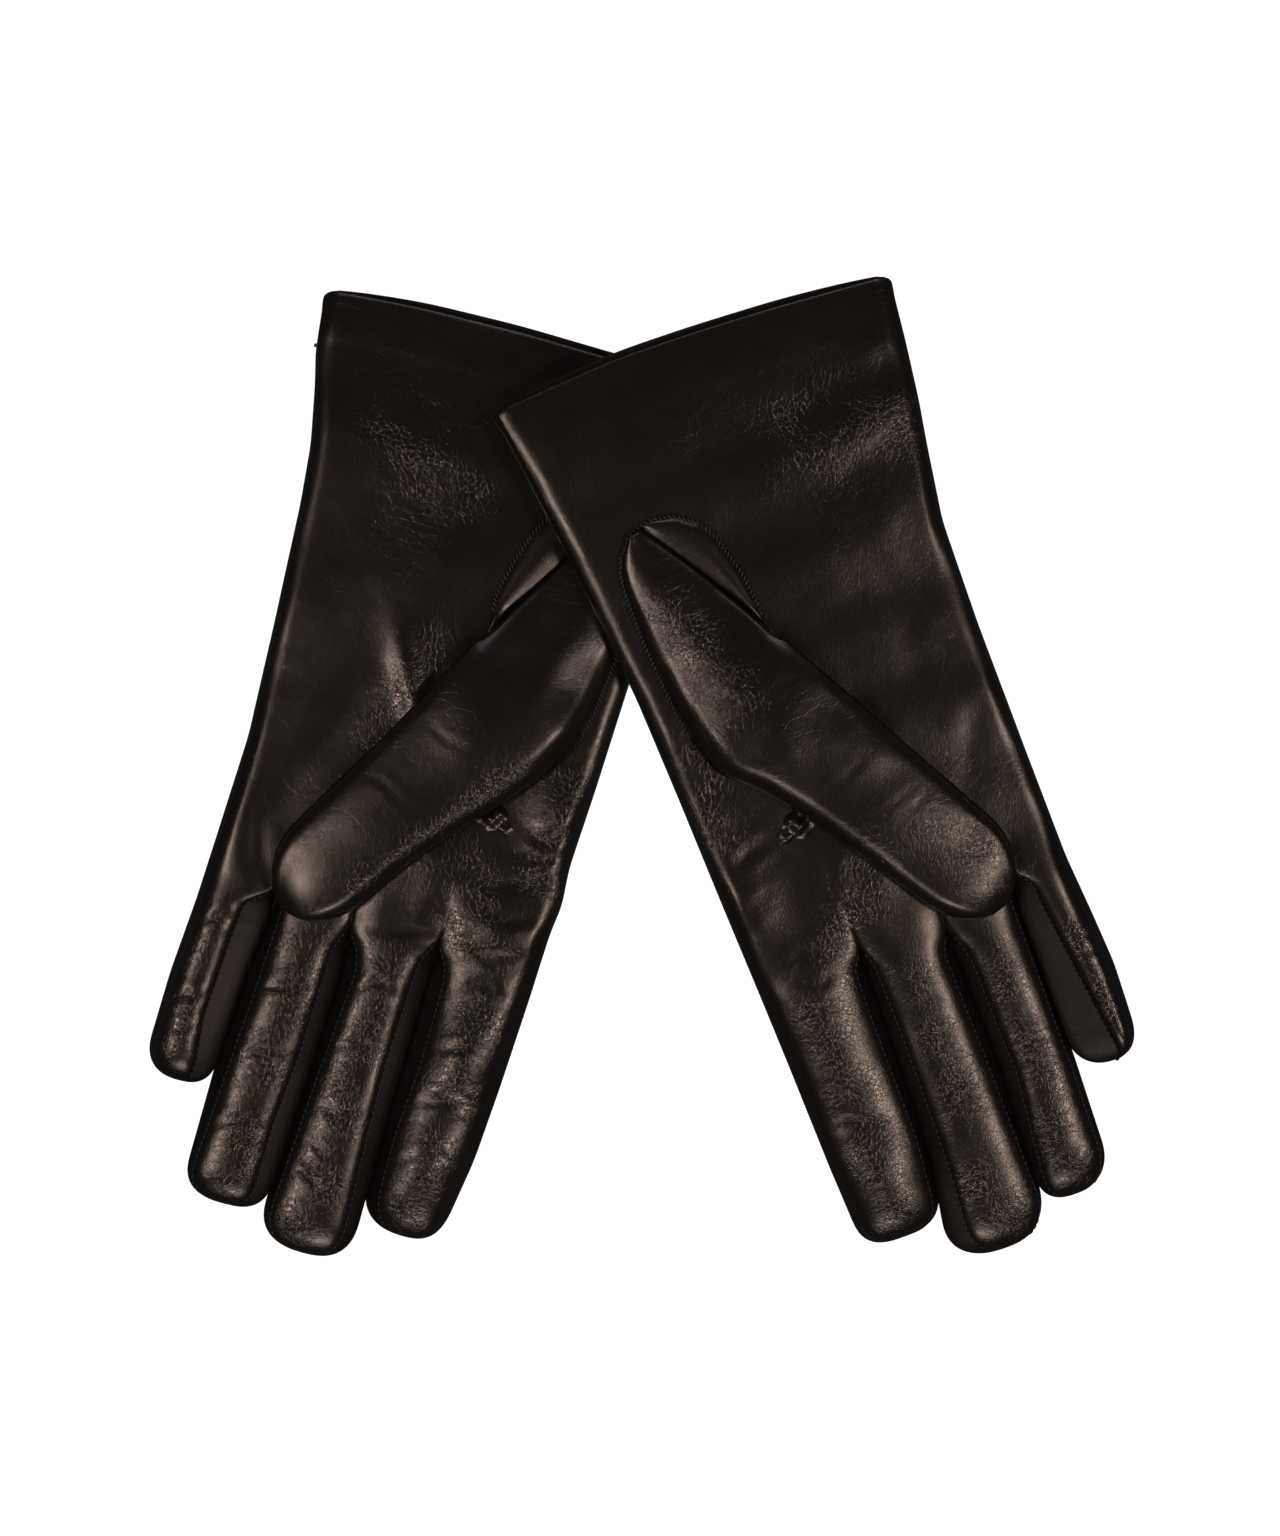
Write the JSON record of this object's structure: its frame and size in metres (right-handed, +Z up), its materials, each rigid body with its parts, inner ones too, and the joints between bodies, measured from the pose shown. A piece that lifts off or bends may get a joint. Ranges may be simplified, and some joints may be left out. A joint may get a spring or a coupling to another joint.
{
  "type": "pair of dress gloves",
  "caption": "Pair of plain lined leather dress gloves laid palm up, one cuff across the other, with fingers and set-in thumbs that fold.",
  "frame": {"origin": "on the table, under the middle of the pair's bounding box", "axes": "+Z up from the table, +Y towards the cuffs, +X towards the right glove"},
  "size_m": [0.2773, 0.2753, 0.029],
  "materials": {
    "leather": "very dark brown-black nappa, smooth, semi-gloss with fine grain",
    "fourchette_leather": "the same nappa, slightly darker",
    "lining": "fine dark knit, matte",
    "thread": "black sewing thread, slight sheen"
  },
  "bodies": {
    "left_glove": {"left_palm_panel": "leather", "left_back_panel": "leather", "left_index_fold": "leather", "left_side_seam": "leather", "left_cuff_hem": "leather", "left_hand_lining": "lining", "left_thumb_base": "leather", "left_thumb_hole_stitches": "thread", "left_quirks": "fourchette_leather"},
    "left_thumb": {"left_thumb_front": "leather", "left_thumb_back": "leather", "left_thumb_lining": "lining"},
    "left_index": {"left_index_palm_strip": "leather", "left_index_back_strip": "leather", "left_index_lining": "lining", "left_index_fourchette_middle": "fourchette_leather"},
    "left_middle": {"left_middle_palm_strip": "leather", "left_middle_back_strip": "leather", "left_middle_lining": "lining", "left_middle_fourchette_index": "fourchette_leather", "left_middle_fourchette_ring": "fourchette_leather"},
    "left_ring": {"left_ring_palm_strip": "leather", "left_ring_back_strip": "leather", "left_ring_lining": "lining", "left_ring_fourchette_middle": "fourchette_leather", "left_ring_fourchette_little": "fourchette_leather"},
    "left_little": {"left_little_palm_strip": "leather", "left_little_back_strip": "leather", "left_little_lining": "lining", "left_little_fourchette_ring": "fourchette_leather"},
    "right_glove": {"right_palm_panel": "leather", "right_back_panel": "leather", "right_index_fold": "leather", "right_side_seam": "leather", "right_cuff_hem": "leather", "right_hand_lining": "lining", "right_thumb_base": "leather", "right_thumb_hole_stitches": "thread", "right_quirks": "fourchette_leather"},
    "right_thumb": {"right_thumb_front": "leather", "right_thumb_back": "leather", "right_thumb_lining": "lining"},
    "right_index": {"right_index_palm_strip": "leather", "right_index_back_strip": "leather", "right_index_lining": "lining", "right_index_fourchette_middle": "fourchette_leather"},
    "right_middle": {"right_middle_palm_strip": "leather", "right_middle_back_strip": "leather", "right_middle_lining": "lining", "right_middle_fourchette_index": "fourchette_leather", "right_middle_fourchette_ring": "fourchette_leather"},
    "right_ring": {"right_ring_palm_strip": "leather", "right_ring_back_strip": "leather", "right_ring_lining": "lining", "right_ring_fourchette_middle": "fourchette_leather", "right_ring_fourchette_little": "fourchette_leather"},
    "right_little": {"right_little_palm_strip": "leather", "right_little_back_strip": "leather", "right_little_lining": "lining", "right_little_fourchette_ring": "fourchette_leather"}
  },
  "joints": [
    {"name": "left_thumb_open", "type": "hinge", "parent": "left_glove", "child": "left_thumb", "pos_m": [-0.03107, 0.02856, 0.0175], "axis": [-0.6665, 0.7455, 0], "range_deg": [0, 90]},
    {"name": "left_index_curl", "type": "hinge", "parent": "left_glove", "child": "left_index", "pos_m": [-0.04905, -0.05985, 0.009], "axis": [-0.9636, 0.2672, 0], "range_deg": [0, 90]},
    {"name": "left_middle_curl", "type": "hinge", "parent": "left_glove", "child": "left_middle", "pos_m": [-0.07565, -0.05247, 0.009], "axis": [-0.9636, 0.2672, 0], "range_deg": [0, 90]},
    {"name": "left_ring_curl", "type": "hinge", "parent": "left_glove", "child": "left_ring", "pos_m": [-0.09839, -0.04617, 0.009], "axis": [-0.9636, 0.2672, 0], "range_deg": [0, 90]},
    {"name": "left_little_curl", "type": "hinge", "parent": "left_glove", "child": "left_little", "pos_m": [-0.11824, -0.04066, 0.009], "axis": [-0.9636, 0.2672, 0], "range_deg": [0, 90]},
    {"name": "right_glove_lift", "type": "slide", "parent": "left_glove", "child": "right_glove", "axis": [0, 0, 1], "range_m": [0, 0.06]},
    {"name": "right_thumb_open", "type": "hinge", "parent": "right_glove", "child": "right_thumb", "pos_m": [0.02445, 0.02468, 0.02833], "axis": [-0.6063, -0.7945, -0.0332], "range_deg": [0, 90]},
    {"name": "right_index_curl", "type": "hinge", "parent": "right_glove", "child": "right_index", "pos_m": [0.04907, -0.06139, 0.01432], "axis": [-0.9397, -0.342, 0], "range_deg": [0, 90]},
    {"name": "right_middle_curl", "type": "hinge", "parent": "right_glove", "child": "right_middle", "pos_m": [0.07501, -0.05196, 0.01432], "axis": [-0.9397, -0.342, 0], "range_deg": [0, 90]},
    {"name": "right_ring_curl", "type": "hinge", "parent": "right_glove", "child": "right_ring", "pos_m": [0.09719, -0.04388, 0.01432], "axis": [-0.9397, -0.342, 0], "range_deg": [0, 90]},
    {"name": "right_little_curl", "type": "hinge", "parent": "right_glove", "child": "right_little", "pos_m": [0.11654, -0.03684, 0.01432], "axis": [-0.9397, -0.342, 0], "range_deg": [0, 90]}
  ]
}
